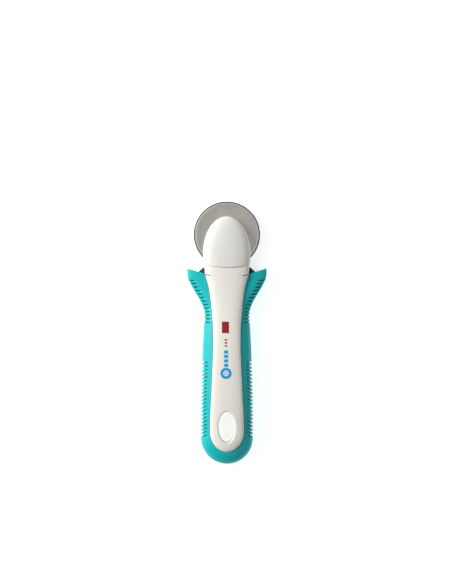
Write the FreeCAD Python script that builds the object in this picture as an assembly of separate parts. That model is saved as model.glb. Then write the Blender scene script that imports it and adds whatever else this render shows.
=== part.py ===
import FreeCAD, Part
import math
import os
from FreeCAD import Vector

# Rotary cutter with a 45 mm blade, lying on its back. The handle runs along Y with the blade at the +Y end,
# +Z is the printed front. Shapes are drawn with the blade's axle at X = Y = 0 and moved to the row's origin
# at export, which is the middle of the whole tool's footprint on the table.

# ---- driving dimensions, millimetres ----
BLADE_R = 22.5
BLADE_T = 0.3
BLADE_HOLE_R = 4.0
BEVEL = 1.3
RUN_GAP = 0.05

GUARD_R = 23.3
GUARD_T = 1.2
GUARD_Z = 8.2
GUARD_TRAVEL = 11.0
GUARD_EASE = 0.2
GUARD_NECK = 14.5
GUARD_FLARE = 19.9
STEM_HALF = 7.0
STEM_END = -58.0
GUARD_SHOULDER = [(GUARD_NECK + 2, -14), (GUARD_NECK, -18.6), (GUARD_NECK, -21.2), (GUARD_FLARE, -26.0),
                  (GUARD_FLARE, -27.2), (17.6, -30.4), (11.5, -34), (STEM_HALF, -37.5),
                  (STEM_HALF, STEM_END)]
STEM_POCKET = STEM_HALF + 0.6
GUARD_POCKET = [(24.3, -20), (24.3, -29.5), (21.6, -38), (18.6, -42.5), (14.0, -47), (9.5, -51),
                (STEM_POCKET, -52), (STEM_POCKET, STEM_END - GUARD_TRAVEL - 1)]

SPLIT_Z = GUARD_Z + GUARD_T / 2
BLADE_Z = GUARD_Z + GUARD_T + RUN_GAP
FRICTION_T = 0.5
FRICTION_R = 9.0
FRICTION_Z = BLADE_Z + BLADE_T + RUN_GAP
TONGUE_Z = FRICTION_Z + FRICTION_T
TONGUE_T = 2.6
TONGUE_HALF = 13.5

AXLE_R = 2.95
AXLE_SLOT_GAP = 0.25
BOLT_HEAD_T = 2.0
BOLT_HEAD_FLATS = 10.0
NUT_Z = 0.6
NUT_T = 5.3
NUT_R = 9.5
NUT_LOBES = 12
INSERT_Z = 1.6
INSERT_FLATS = 10.0
NUT_EASE = 0.8
SCALLOP_R = 1.7
SCALLOP_OUT = 0.9
COIN_SLOT = (14.0, 1.8, 0.8)
SPRING_WASHER_T = 0.5
WASHER_T = 0.8
FLAT_WASHER_R = 7.5
SPRING_WASHER_R = 6.8
SPRING_BOW_R = 30.0

WALL = 2.4
GUARD_GAP = 0.4
BAND = 1.0
POWER = 2.4
EDGE_ROUND = 0.8
REAR_CROWN = -0.6
PANEL_LIP = 0.3
MOUTH_TIP = (27.9, -23.6)
MOUTH_CORNER = (15.1, -27.5)
CREASE_EDGE_Y = -21.3
CREASE_MID_Y = -23.0
CREASE_REACH = 30.0
CREASE_RISE = 4.3

END_Y = -142.7
END_R = 18.2
PANEL_END_Y = -137.6
PANEL_END_R = 11.8
PANEL_END_LENGTH = 14.4

CAP_Y = -13.5
CAP_R = 16.7
CAP_LENGTH = 26.3
CAP_BASE_Z = TONGUE_Z + 0.15
CAP_SIDE_Z = 12.6
CAP_CROWN_Z = 18.9
CAP_T = 1.7

HOLE_Y = -134.7
HOLE_HALF_X = 5.9
HOLE_HALF_Y = 10.8
HOLE_WALL = 1.8
NECK_HOLLOW = (14.0, -25.5, -62.0)
PALM_HOLLOW = (17.0, -60.0)
SLIT = (3.4, 0.5, -28.7, 12.5)
TALL = 30.0

WING_NOTCHES = (13, -32.0, -61.5, 0.7)
PALM_NOTCHES = (22, -89.6, -143.4, 1.25)
NOTCH_HALF = 0.62
NOTCH_REACH = 3.6
NOTCH_BAR = 4.0
NOTCH_GROUPS = 7

BUTTON_Y = -36.0
BUTTON_HALF = (6.5, 6.0)
POCKET_Z = 2.9
SLOT_HALF = 2.5
BUTTON_Z = 0.9
BUTTON_TOP = 2.6
BUTTON_CORNER = 2.2
TRACK_GAP = (0.7, 0.6)
SLOT_END = 3.4
TRACK_FLOOR = (9.0, -56.0, -20.0)
CARRIAGE_Z = POCKET_Z + 2.1
CARRIAGE_BACK = 4.5
CARRIAGE_FRONT = 4.0
PAD_HALF = (4.55, 4.15)
PAD_Z = (0.3, 0.7, 1.3)
PAD_RIDGES = 5
PAD_RIDGE_R = 0.45
PAD_RIDGE_PITCH = 1.6
SLIDE_SCREW_R = 1.0
SLIDE_SCREW_HEAD = (2.0, 1.3)
CROSS_HALF = (1.3, 0.25)
CROSS_DEPTH = 0.7

DETENT_Y = -55.0
LEAF_Z = 6.3
LEAF_T = 0.3
PIN_Y = -71.8
PIN_R = 1.0
LEAF_HALF = 2.6
BUMP_R = 1.5

SCREW_YS = (-79.0, -115.0)
SCREW_R = 1.25
SCREW_HEAD_R = 2.6
SCREW_HEAD_Z = 1.7
SCREW_SEAT_Z = 3.5
SCREW_TIP_Z = 15.0
SCREW_CROSS = (1.6, 0.3, 0.9)
BOSS_R = 3.9

FRAME_SHIFT = Vector(0, (END_R - END_Y - GUARD_R) / 2, 0)

# Half width, front height and panel shape along the handle, as (y, value) from the head to the end.
HANDLE_HALF = [(-20, 27.9), (-24, 27.9), (-29.5, 27.6), (-35.8, 25.0), (-42, 21.4), (-48.4, 17.9),
               (-53.5, 16.3), (-58, 15.9), (-63, 16.2), (-78, 17.0), (-89, 17.4), (-110, 18.0),
               (-125, END_R), (END_Y, END_R)]
FRONT_CROWN = [(-20, 13.4), (-30, 14.0), (-45, 16.0), (-60, 17.8), (-80, 19.6), (-108, 20.8),
               (-125, 20.2), (END_Y, 19.2)]
PANEL_HALF = [(-19, 16.0), (-27.5, 15.3), (-35.8, 13.0), (-46.3, 11.3), (-57, 10.2), (-67.4, 9.6),
              (-78, 9.5), (-88.5, 9.8), (-102.5, 10.4), (-116.5, 11.0), (-130.6, 11.7),
              (PANEL_END_Y, PANEL_END_R)]
PANEL_CROWN = [(-19, 18.2), (-30, 18.0), (-45, 18.6), (-60, 19.8), (-80, 21.2), (-105, 22.0), (-125, 21.6),
               (PANEL_END_Y, 20.9)]
CAP_HALF = [(CAP_Y, CAP_R), (-17, 16.55), (-21.3, 15.95), (-25, 15.2)]


def along(points, y):
    """Smooth value at y through (y, value) points that run from high y to low y."""
    if y >= points[0][0]:
        return points[0][1]
    if y <= points[-1][0]:
        return points[-1][1]
    slopes = [(b[1] - a[1]) / (b[0] - a[0]) for a, b in zip(points, points[1:])]
    tangents = [0.0]
    for before, after in zip(slopes, slopes[1:]):
        turning = before * after <= 0
        tangents.append(0.0 if turning else 2 * before * after / (before + after))
    tangents.append(0.0)
    for i, (a, b) in enumerate(zip(points, points[1:])):
        if y >= b[0]:
            span = b[0] - a[0]
            t = (y - a[0]) / span
            return ((2 * t**3 - 3 * t**2 + 1) * a[1] + (t**3 - 2 * t**2 + t) * span * tangents[i]
                    + (3 * t**2 - 2 * t**3) * b[1] + (t**3 - t**2) * span * tangents[i + 1])


def shoulder(y, half, side, crown):
    """Right half of a rounded cross-section, from the side up to the crown."""
    steps = 10
    points = []
    for i in range(steps + 1):
        angle = math.pi / 2 * i / steps
        x = half * math.cos(angle) ** (2 / POWER)
        z = side + (crown - side) * math.sin(angle) ** (2 / POWER)
        points.append(Vector(x if i < steps else 0, y, z))
    rise = Vector(0, 0, 1 if crown > side else -1)
    curve = Part.BSplineCurve()
    knots = [i / steps for i in range(steps + 1)]
    curve.interpolate(Points=points, Parameters=knots, InitialTangent=rise * abs(crown - side) * 1.6,
                      FinalTangent=Vector(-1.6 * half, 0, 0))
    return curve


def section(y, half, base, side, crown):
    """Closed cross-section: flat base, short straight sides and a rounded top."""
    right = shoulder(y, half, side, crown).toShape()
    left = right.mirror(Vector(0, 0, 0), Vector(1, 0, 0))
    corners = [Vector(-half, y, side), Vector(-half, y, base), Vector(half, y, base), Vector(half, y, side)]
    lines = [Part.makeLine(a, b) for a, b in zip(corners, corners[1:])]
    return Part.Wire(Part.__sortEdges__([right, left] + lines))


def body_loft(ys, shape):
    """Solid through the sections at ys; shape(y) gives half width, base, side and crown heights."""
    return Part.makeLoft([section(y, *shape(y)) for y in ys], True, False, False, 5)


def round_end(y, half, base, side, crown):
    """Half a turn of the cross-section at y, which closes the handle's lower end."""
    rim = shoulder(0, half, side, crown).toShape()
    corners = [Vector(0, 0, crown), Vector(0, 0, base), Vector(half, 0, base), Vector(half, 0, side)]
    lines = [Part.makeLine(a, b) for a, b in zip(corners, corners[1:])]
    face = Part.Face(Part.Wire(Part.__sortEdges__([rim] + lines)))
    solid = face.revolve(Vector(0, 0, 0), Vector(0, 0, -1), 180)
    solid.translate(Vector(0, y, 0))
    return solid


def eased(shape, z, size):
    """The shape with a small round on its edges that lie flat at height z."""
    flat = [edge for edge in shape.Edges
            if abs(edge.BoundBox.ZMin - z) < 0.01 and abs(edge.BoundBox.ZMax - z) < 0.01]
    return shape.makeFillet(size, flat)


def ellipse_face(half_x, length, y, z):
    """Face of an upright ellipse centred on the line x = 0 at y."""
    centre = Vector(0, y, z)
    curve = Part.Ellipse(Vector(0, y + length, z), Vector(half_x, y, z), centre)
    return Part.Face(Part.Wire(curve.toShape()))


def box(x0, x1, y0, y1, z0, z1):
    return Part.makeBox(x1 - x0, y1 - y0, z1 - z0, Vector(x0, y0, z0))


def rod(r, z0, z1, x=0.0, y=0.0):
    return Part.makeCylinder(r, z1 - z0, Vector(x, y, z0))


def ring(r_out, r_in, z0, z1):
    return rod(r_out, z0, z1).cut(rod(r_in, z0 - 1, z1 + 1))


def prism(points, z0, z1):
    wire = Part.makePolygon([Vector(x, y, z0) for x, y in points + points[:1]])
    return Part.Face(wire).extrude(Vector(0, 0, z1 - z0))


def hexagon(flats, z0, z1):
    r = flats / math.sqrt(3)
    corners = [(r * math.cos(math.radians(60 * k)), r * math.sin(math.radians(60 * k))) for k in range(6)]
    return prism(corners, z0, z1)


def oval(half_x, half_y, z0, z1):
    return ellipse_face(half_x, half_y, HOLE_Y, z0).extrude(Vector(0, 0, z1 - z0))


def front_height(x, y):
    """Height of the front grip surface at x on the station y."""
    half = along(HANDLE_HALF, y)
    side = SPLIT_Z + BAND
    share = min(abs(x) / half, 1.0)
    return side + (along(FRONT_CROWN, y) - side) * (1 - share**POWER) ** (1 / POWER)


HANDLE_YS = [-20, -24, -28, -32, -36, -40, -44, -48, -52, -57, -63, -70, -80, -92, -106, -120, -132, END_Y]
ROUND_STEPS = [0.0, 0.35, 0.6, 0.8, 0.92, 0.985]
PANEL_YS = [-19, -23, -27.5, -32, -38, -46, -56, -66, -78, -92, -106, -120, -130, PANEL_END_Y]


def handle_front():
    """Front half of the handle's outer skin, filled."""
    def shape(y):
        return along(HANDLE_HALF, y), SPLIT_Z, SPLIT_Z + BAND, along(FRONT_CROWN, y)
    return body_loft(HANDLE_YS, shape).fuse(round_end(END_Y, *shape(END_Y)))


def handle_rear():
    """Rear half of the handle's outer skin, filled."""
    def shape(y):
        return along(HANDLE_HALF, y), SPLIT_Z, SPLIT_Z - BAND, REAR_CROWN
    return body_loft(HANDLE_YS, shape).fuse(round_end(END_Y, *shape(END_Y)))


def panel_front():
    """Convex white panel from the head to its round lower end, filled."""
    def shape(y):
        past = max(0.0, (PANEL_END_Y - y) / PANEL_END_LENGTH)
        half = along(PANEL_HALF, y) * math.sqrt(1 - past**2)
        side = front_height(PANEL_END_R, PANEL_END_Y) if past > 0 else front_height(half, y)
        side += PANEL_LIP
        return half, SPLIT_Z, side, side + (along(PANEL_CROWN, y) - side) * (1 - past**POWER) ** (1 / POWER)
    tail = [PANEL_END_Y - PANEL_END_LENGTH * share for share in ROUND_STEPS[1:]]
    return body_loft(PANEL_YS + tail, shape)


def panel_prism(z0, z1, inset=0.0, first=PANEL_YS[0], last=None):
    """Upright block with the panel's outline moved inward by inset, from first to last or the round end."""
    stop = last or PANEL_END_Y
    ys = [first] + [y for y in PANEL_YS if stop + 1 < y < first - 1] + [stop]
    curve = Part.BSplineCurve()
    curve.interpolate(Points=[Vector(along(PANEL_HALF, y) - inset, y, z0) for y in ys])
    right = curve.toShape()
    left = right.mirror(Vector(0, 0, 0), Vector(1, 0, 0))
    half = along(PANEL_HALF, ys[-1]) - inset
    if last is None:
        length = PANEL_END_LENGTH - inset
        centre = Vector(0, ys[-1], z0)
        ellipse = Part.Ellipse(Vector(0, ys[-1] - length, z0), Vector(half, ys[-1], z0), centre)
        start = ellipse.parameter(Vector(-half, ys[-1], z0))
        end = ellipse.parameter(Vector(half, ys[-1], z0))
        foot = Part.ArcOfEllipse(ellipse, start, end).toShape()
        if foot.BoundBox.YMax > ys[-1] + 1:
            foot = Part.ArcOfEllipse(ellipse, end, start).toShape()
    else:
        foot = Part.makeLine(Vector(-half, last, z0), Vector(half, last, z0))
    top = along(PANEL_HALF, first) - inset
    head = Part.makeLine(Vector(-top, first, z0), Vector(top, first, z0))
    wire = Part.Wire(Part.__sortEdges__([right, left, foot, head]))
    return Part.Face(wire).extrude(Vector(0, 0, z1 - z0))


def above_mouth(z0, z1):
    """Everything past the wings' slanted top edges."""
    slope = (MOUTH_TIP[1] - MOUTH_CORNER[1]) / (MOUTH_TIP[0] - MOUTH_CORNER[0])
    beyond = 4.0
    far_x, far_y = MOUTH_TIP[0] + beyond, MOUTH_TIP[1] + beyond * slope
    right = [(far_x, 0), (far_x, far_y), MOUTH_CORNER]
    return prism(mirrored(right), z0, z1)


def above_crease(z0, z1):
    """Everything past the curved seam between the cap and the body."""
    reach, edge_y = CREASE_REACH, CREASE_EDGE_Y + CREASE_RISE
    corners = [Vector(x, y, z0) for x, y in ((reach, edge_y), (reach, 40), (-reach, 40), (-reach, edge_y))]
    dip = Part.Arc(corners[3], Vector(0, CREASE_MID_Y, z0), corners[0]).toShape()
    lines = [Part.makeLine(a, b) for a, b in zip(corners, corners[1:])]
    return Part.Face(Part.Wire([dip] + lines)).extrude(Vector(0, 0, z1 - z0))


def notch(y, side, front, depth):
    """V-shaped bar that leaves one grip notch: depth at the parting line, fading up the shoulder."""
    half = along(HANDLE_HALF, y)
    reach = half - NOTCH_REACH
    top = front_height(reach, y) if front else 2 * SPLIT_Z - front_height(reach, y)
    low = SPLIT_Z - 0.2 if front else SPLIT_Z + 0.2
    apex = (Vector(side * (half - depth), y, low), Vector(side * reach, y, top))
    out = Vector(side, 0, 1 if front else -1) * NOTCH_BAR
    spread = Vector(0, NOTCH_HALF * NOTCH_BAR, 0)
    bar = [Part.makePolygon([point, point + out + spread, point + out - spread, point]) for point in apex]
    return Part.makeLoft(bar, True, True)


def notched(grip, front):
    """The grip's largest solid with its wing and palm notches cut in spaced-out groups."""
    grip = max(grip.Solids, key=lambda solid: solid.Volume)
    bars = []
    for count, first, last, depth in (WING_NOTCHES, PALM_NOTCHES):
        for k in range(count):
            y = first + (last - first) * k / (count - 1)
            bars += [notch(y, side, front, depth) for side in (1, -1)]
    for start in range(NOTCH_GROUPS):
        grip = max(grip.cut(bars[start::NOTCH_GROUPS]).Solids, key=lambda solid: solid.Volume)
    return grip


def mirrored(right):
    """Closed outline from the points of its right side."""
    return right + [(-x, y) for x, y in reversed(right)]


def guard_pocket():
    """Flat space between the two halves that the guard and its stem slide in."""
    return prism(mirrored(GUARD_POCKET), GUARD_Z - GUARD_GAP, GUARD_Z + GUARD_T + GUARD_GAP)


# ---- white and turquoise mouldings ----
def front_shell():
    shell = panel_front().cut(above_crease(0, TALL))
    pillars = [oval(HOLE_HALF_X + HOLE_WALL, HOLE_HALF_Y + HOLE_WALL, 0, TALL)]
    pillars += [rod(BOSS_R, 0, TALL, 0, y) for y in SCREW_YS]
    neck_top, neck_first, neck_last = NECK_HOLLOW
    palm_top, palm_first = PALM_HOLLOW
    neck = panel_prism(0, neck_top, WALL, neck_first, neck_last)
    palm = panel_prism(0, palm_top, WALL, palm_first).cut(pillars)
    shell = shell.cut([neck, palm]).fuse(head_plate())
    cuts = [oval(HOLE_HALF_X, HOLE_HALF_Y, 0, TALL), box(-TALL, TALL, -27.0, 20, 0, TONGUE_Z),
            guard_pocket(), rod(BLADE_HOLE_R, 0, TONGUE_Z + TONGUE_T + 1)]
    cuts += [rod(SCREW_R, SPLIT_Z - 1, SCREW_TIP_Z, 0, y) for y in SCREW_YS]
    length, width, slit_y, slit_z = SLIT
    for side, turn in ((1, 6), (-1, 174)):
        slit = box(0, length, -width / 2, width / 2, 0, TALL)
        slit.rotate(Vector(0, 0, 0), Vector(0, 0, 1), turn)
        slit.translate(Vector(side * (MOUTH_CORNER[0] - 3.0), slit_y, slit_z))
        cuts.append(slit)
    return max(shell.cut(cuts).Solids, key=lambda solid: solid.Volume)


def head_plate():
    """Flat tongue that carries the axle under the cap."""
    face = ellipse_face(CAP_R - CAP_T - 0.4, CAP_LENGTH - CAP_T - 1.0, CAP_Y, TONGUE_Z)
    plate = face.extrude(Vector(0, 0, TONGUE_T))
    return plate.common(box(-TONGUE_HALF, TONGUE_HALF, -32, 30, 0, TALL))


def cap_solid(inset):
    """The egg-shaped cap, filled, moved inward by inset."""
    reach = CAP_LENGTH - inset
    def shape(y):
        past = max(0.0, (y - CAP_Y) / reach)
        half = (along(CAP_HALF, y) - inset) * math.sqrt(1 - past**2)
        rise = CAP_CROWN_Z - inset - CAP_SIDE_Z
        crown = CAP_SIDE_Z + rise * (1 - past**POWER) ** (1 / POWER)
        return half, CAP_BASE_Z - inset, CAP_SIDE_Z, crown
    nose = [CAP_Y + reach * share for share in ROUND_STEPS]
    return body_loft(nose[::-1] + [-17, -21.3, -25], shape)


def head_cap():
    shell = cap_solid(0).cut(cap_solid(CAP_T))
    return shell.common(above_crease(0, TALL))


def front_grip():
    grip = handle_front().cut(panel_prism(0, TALL)).cut([above_mouth(0, TALL), guard_pocket()])
    return notched(grip, True)


def rear_shell():
    mouth = box(-TALL, TALL, MOUTH_CORNER[1], 0, -5, TALL)
    shell = panel_prism(0, SPLIT_Z).cut([oval(HOLE_HALF_X, HOLE_HALF_Y, -3, TALL), mouth])
    shell = eased(shell, 0, EDGE_ROUND)
    floor_half, floor_back, floor_front = TRACK_FLOOR
    pillars = [oval(HOLE_HALF_X + HOLE_WALL, HOLE_HALF_Y + HOLE_WALL, 0, TALL),
               box(-floor_half, floor_half, floor_back, floor_front, 0, POCKET_Z + 1.8),
               box(-3.5, 3.5, PIN_Y - 2.2, PIN_Y + 2.3, 0, LEAF_Z),
               rod(PIN_R - 0.05, 0, LEAF_Z + 1.0, 0, PIN_Y)]
    pillars += [rod(BOSS_R, 0, TALL, 0, y) for y in SCREW_YS]
    shell = shell.cut(panel_prism(POCKET_Z - 0.5, 20, WALL, -25.5).cut(pillars))
    half_x, half_y = BUTTON_HALF[0] + TRACK_GAP[0], BUTTON_HALF[1] + TRACK_GAP[1]
    slot_back, slot_front = BUTTON_Y - SLOT_END - GUARD_TRAVEL, BUTTON_Y + SLOT_END
    cuts = [guard_pocket(),
            box(-half_x, half_x, BUTTON_Y - half_y - GUARD_TRAVEL, BUTTON_Y + half_y, -1, POCKET_Z),
            box(-SLOT_HALF, SLOT_HALF, slot_back, slot_front, 0, POCKET_Z + 3)]
    for y in SCREW_YS:
        cuts.append(rod(SCREW_HEAD_R + 0.2, -1, SCREW_SEAT_Z, 0, y))
        cuts.append(rod(SCREW_R, SCREW_SEAT_Z - 0.5, SPLIT_Z + 1, 0, y))
    return shell.cut(cuts)


def rear_grip():
    grip = handle_rear().cut(panel_prism(-5, 30))
    grip = grip.cut([above_mouth(-3, 30), guard_pocket(), box(-40, 40, -200, 0, -5, 0)])
    return notched(grip, False)


# ---- head hardware ----
def blade():
    middle = BLADE_Z + BLADE_T / 2
    flat = BLADE_R - BEVEL
    outline = [(BLADE_HOLE_R, BLADE_Z), (flat, BLADE_Z), (BLADE_R, middle - 0.02), (BLADE_R, middle + 0.02),
               (flat, BLADE_Z + BLADE_T), (BLADE_HOLE_R, BLADE_Z + BLADE_T), (BLADE_HOLE_R, BLADE_Z)]
    profile = Part.makePolygon([Vector(r, 0, z) for r, z in outline])
    return Part.Face(profile).revolve(Vector(0, 0, 0), Vector(0, 0, 1), 360)


def guard():
    z0, z1 = GUARD_Z, GUARD_Z + GUARD_T
    plate = rod(GUARD_R, z0, z1).fuse(prism(mirrored(GUARD_SHOULDER), z0, z1)).removeSplitter()
    half = AXLE_R + AXLE_SLOT_GAP
    cuts = [box(-half, half, 0, GUARD_TRAVEL, 0, TALL)]
    cuts += [rod(half, 0, TALL, 0, y) for y in (0, GUARD_TRAVEL)]
    cuts.append(rod(SLIDE_SCREW_R + 0.1, 0, TALL, 0, BUTTON_Y))
    cuts += [rod(BUMP_R - 0.1, 0, TALL, 0, y) for y in (DETENT_Y, DETENT_Y + GUARD_TRAVEL)]
    plate = plate.cut(cuts)
    return plate.makeChamfer(GUARD_EASE, [e for e in plate.Edges if e.BoundBox.ZLength < 0.01])


def axle_bolt():
    top = TONGUE_Z + TONGUE_T
    half = BOLT_HEAD_FLATS / 2
    head = box(-half, half, -half, half, top, top + BOLT_HEAD_T)
    shank = rod(AXLE_R, INSERT_Z - 0.2, top)
    edges = [e for e in shank.Edges if abs(e.BoundBox.ZMax - (INSERT_Z - 0.2)) < 0.001]
    return head.fuse(shank.makeChamfer(0.5, edges))


def blade_bush():
    return ring(BLADE_HOLE_R - RUN_GAP, AXLE_R, BLADE_Z - 0.03, TONGUE_Z + TONGUE_T)


def friction_washer():
    return ring(FRICTION_R, BLADE_HOLE_R, FRICTION_Z, TONGUE_Z)


def flat_washer():
    top = GUARD_Z - RUN_GAP
    return ring(FLAT_WASHER_R, AXLE_R + 0.15, top - WASHER_T, top)


def spring_washer():
    top = GUARD_Z - 2 * RUN_GAP - WASHER_T
    axis = Vector(-10, 0, top - SPRING_BOW_R)
    outer = Part.makeCylinder(SPRING_BOW_R, 20, axis, Vector(1, 0, 0))
    inner = Part.makeCylinder(SPRING_BOW_R - SPRING_WASHER_T, 20, axis, Vector(1, 0, 0))
    return outer.cut(inner).common(ring(SPRING_WASHER_R, AXLE_R + 0.35, top - 3, top + 1))


def nut_insert():
    return hexagon(INSERT_FLATS, INSERT_Z, NUT_Z + NUT_T).cut(rod(AXLE_R + RUN_GAP, 0, 10))


def nut_knob():
    top = NUT_Z + NUT_T
    knob = rod(NUT_R, NUT_Z, top)
    rims = [e for e in knob.Edges if e.BoundBox.ZLength < 0.01 and e.BoundBox.XLength > 1]
    knob = knob.makeFillet(NUT_EASE, rims)
    reach = NUT_R + SCALLOP_OUT
    for k in range(NUT_LOBES):
        angle = 2 * math.pi * k / NUT_LOBES
        knob = knob.cut(rod(SCALLOP_R, NUT_Z - 1, top + 1, reach * math.cos(angle), reach * math.sin(angle)))
    length, width, depth = COIN_SLOT
    coin_slot = box(-length / 2, length / 2, -width / 2, width / 2, NUT_Z - 1, NUT_Z + depth)
    bore = rod(AXLE_R + 0.5, NUT_Z - 1, INSERT_Z + 1)
    return knob.cut([hexagon(INSERT_FLATS, INSERT_Z, top + 1), bore, coin_slot])


# ---- thumb slide ----
def slide_carriage():
    half = STEM_HALF - 0.4
    block = box(-half, half, BUTTON_Y - CARRIAGE_BACK, BUTTON_Y + CARRIAGE_FRONT, CARRIAGE_Z, GUARD_Z)
    half = SLOT_HALF - 0.3
    neck = box(-half, half, BUTTON_Y - 3, BUTTON_Y + 3, BUTTON_TOP, CARRIAGE_Z)
    return block.fuse(neck).cut(rod(SLIDE_SCREW_R, 0, TALL, 0, BUTTON_Y))


def slide_button():
    hx, hy = BUTTON_HALF
    block = box(-hx, hx, BUTTON_Y - hy, BUTTON_Y + hy, BUTTON_Z, BUTTON_TOP)
    corners = [e for e in block.Edges if e.BoundBox.ZLength > 1.5]
    block = block.makeFillet(BUTTON_CORNER, corners)
    seat_x, seat_y = PAD_HALF[0] + 0.05, PAD_HALF[1] + 0.05
    seat = box(-seat_x, seat_x, BUTTON_Y - seat_y, BUTTON_Y + seat_y, 0, PAD_Z[2])
    return block.cut([seat, rod(SLIDE_SCREW_R, 1, TALL, 0, BUTTON_Y)])


def slide_pad():
    hx, hy = PAD_HALF
    crest, face, back = PAD_Z
    pad = box(-hx, hx, BUTTON_Y - hy, BUTTON_Y + hy, face, back)
    ridges = []
    for k in range(PAD_RIDGES):
        start = Vector(-4.0, BUTTON_Y + PAD_RIDGE_PITCH * (k - (PAD_RIDGES - 1) / 2), face + 0.05)
        ridges.append(Part.makeCylinder(PAD_RIDGE_R, 8.0, start, Vector(1, 0, 0)))
    return pad.fuse(ridges).common(box(-hx, hx, BUTTON_Y - hy, BUTTON_Y + hy, crest, back))


def cross_slot(y, half_length, half_width, z0, z1):
    """Two crossed bars for the slot in a screw's head."""
    return [box(-half_length, half_length, y - half_width, y + half_width, z0, z1),
            box(-half_width, half_width, y - half_length, y + half_length, z0, z1)]


def slide_screw():
    seat = GUARD_Z + GUARD_T
    head_r, head_t = SLIDE_SCREW_HEAD
    head = rod(head_r, seat, seat + head_t, 0, BUTTON_Y)
    shank = rod(SLIDE_SCREW_R, PAD_Z[2] + 0.2, seat, 0, BUTTON_Y)
    return head.fuse(shank).cut(cross_slot(BUTTON_Y, *CROSS_HALF, seat + head_t - CROSS_DEPTH, TALL))


def detent_spring():
    top = LEAF_Z + LEAF_T
    leaf = box(-LEAF_HALF, LEAF_HALF, PIN_Y - 2.2, DETENT_Y + 2, LEAF_Z, top)
    bump = Part.makeCylinder(BUMP_R, 3.0, Vector(-1.5, DETENT_Y, top), Vector(1, 0, 0))
    upper = box(-BUMP_R, BUMP_R, DETENT_Y - BUMP_R, DETENT_Y + BUMP_R, top, top + 2)
    return leaf.fuse(bump.common(upper)).cut(rod(PIN_R, LEAF_Z - 1, top + 1, 0, PIN_Y))


def case_screws():
    half_length, half_width, depth = SCREW_CROSS
    screws = []
    for y in SCREW_YS:
        head = rod(SCREW_HEAD_R, SCREW_HEAD_Z, SCREW_SEAT_Z, 0, y)
        shank = rod(SCREW_R, SCREW_SEAT_Z, SCREW_TIP_Z, 0, y)
        screws.append(head.fuse(shank).cut(cross_slot(y, half_length, half_width, 1, SCREW_HEAD_Z + depth)))
    return Part.makeCompound(screws)


NODES = [front_shell, head_cap, front_grip, rear_shell, rear_grip, case_screws, axle_bolt, blade_bush,
         friction_washer, blade, guard, flat_washer, spring_washer, nut_insert, nut_knob, slide_carriage,
         slide_button, slide_pad, slide_screw, detent_spring]

os.makedirs("parts", exist_ok=True)
for make in NODES:
    shape = make()
    shape.translate(FRAME_SHIFT)
    shape.exportStep("parts/%s.step" % make.__name__)
    span = shape.BoundBox
    print("%-16s solids %d valid %s volume %.1f  x %.1f %.1f  y %.1f %.1f  z %.2f %.2f" % (
        make.__name__, len(shape.Solids), shape.isValid(), shape.Volume, span.XMin, span.XMax, span.YMin,
        span.YMax, span.ZMin, span.ZMax))
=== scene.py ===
# %% [markdown]
# A rotary cutter for fabric, finished in Blender round a imported CAD model. The model comes in as a
# fixed frame: every piece below takes its place from it, in metres, with the handle along Y, the
# blade at the +Y end and the printed front facing up.
# %% load the frame
import math
import bmesh
import bpy
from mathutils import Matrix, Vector


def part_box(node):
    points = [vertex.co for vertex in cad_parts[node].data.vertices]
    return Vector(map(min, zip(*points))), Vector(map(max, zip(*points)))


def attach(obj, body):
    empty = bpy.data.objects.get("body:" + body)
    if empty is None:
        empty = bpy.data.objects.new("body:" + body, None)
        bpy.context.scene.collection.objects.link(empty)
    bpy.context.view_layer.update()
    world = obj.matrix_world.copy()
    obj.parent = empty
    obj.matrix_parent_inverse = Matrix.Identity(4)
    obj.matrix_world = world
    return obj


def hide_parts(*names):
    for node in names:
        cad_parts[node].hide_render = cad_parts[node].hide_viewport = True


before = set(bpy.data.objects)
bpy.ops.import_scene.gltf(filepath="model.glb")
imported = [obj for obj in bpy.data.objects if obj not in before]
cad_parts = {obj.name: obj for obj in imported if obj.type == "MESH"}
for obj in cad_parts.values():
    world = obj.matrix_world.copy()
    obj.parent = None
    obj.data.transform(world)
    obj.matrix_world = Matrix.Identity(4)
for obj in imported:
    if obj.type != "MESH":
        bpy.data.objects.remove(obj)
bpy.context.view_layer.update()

MM = 0.001
low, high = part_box("blade")
AXLE = (Vector(low) + Vector(high)) / 2
guard_low, guard_high = (Vector(corner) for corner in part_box("guard"))
SPLIT = (guard_low.z + guard_high.z) / 2 / MM
print("nodes", len(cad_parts), "axle at", tuple(round(v, 4) for v in AXLE))

# %% [markdown]
# The mouldings follow a few curves along the handle: half the width over the grip, half the width
# of the white panel and of the cap, and the height of each crown. A few points that a smooth curve
# passes through say all of it. The points are millimetres, measured from the blade's axle, as a
# drawing of the tool would give them. A spline object could hold the same curves, but a function
# is easier to ask for the width at any place.
# %% curves along the handle
HANDLE_HALF = [(-20, 27.9), (-24, 27.9), (-29.5, 27.6), (-35.8, 25.0), (-42, 21.4), (-48.4, 17.9),
               (-53.5, 16.3), (-58, 15.9), (-63, 16.2), (-78, 17.0), (-89, 17.4), (-110, 18.0),
               (-125, 18.2), (-142.7, 18.2)]
FRONT_CROWN = [(-20, 13.4), (-30, 14.0), (-45, 16.0), (-60, 17.8), (-80, 19.6), (-108, 20.8),
               (-125, 20.2), (-142.7, 19.2)]
PANEL_HALF = [(-19, 16.0), (-27.5, 15.3), (-35.8, 13.0), (-46.3, 11.3), (-57, 10.2), (-67.4, 9.6),
              (-78, 9.5), (-88.5, 9.8), (-102.5, 10.4), (-116.5, 11.0), (-130.6, 11.7),
              (-137.6, 11.8)]
PANEL_CROWN = [(-19, 18.2), (-30, 18.0), (-45, 18.6), (-60, 19.8), (-80, 21.2), (-105, 22.0),
               (-125, 21.6), (-137.6, 20.9)]
CAP_HALF = [(-13.5, 16.7), (-17, 16.55), (-21.3, 15.95), (-25, 15.2)]
END_Y, END_R = HANDLE_HALF[-1]
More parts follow.
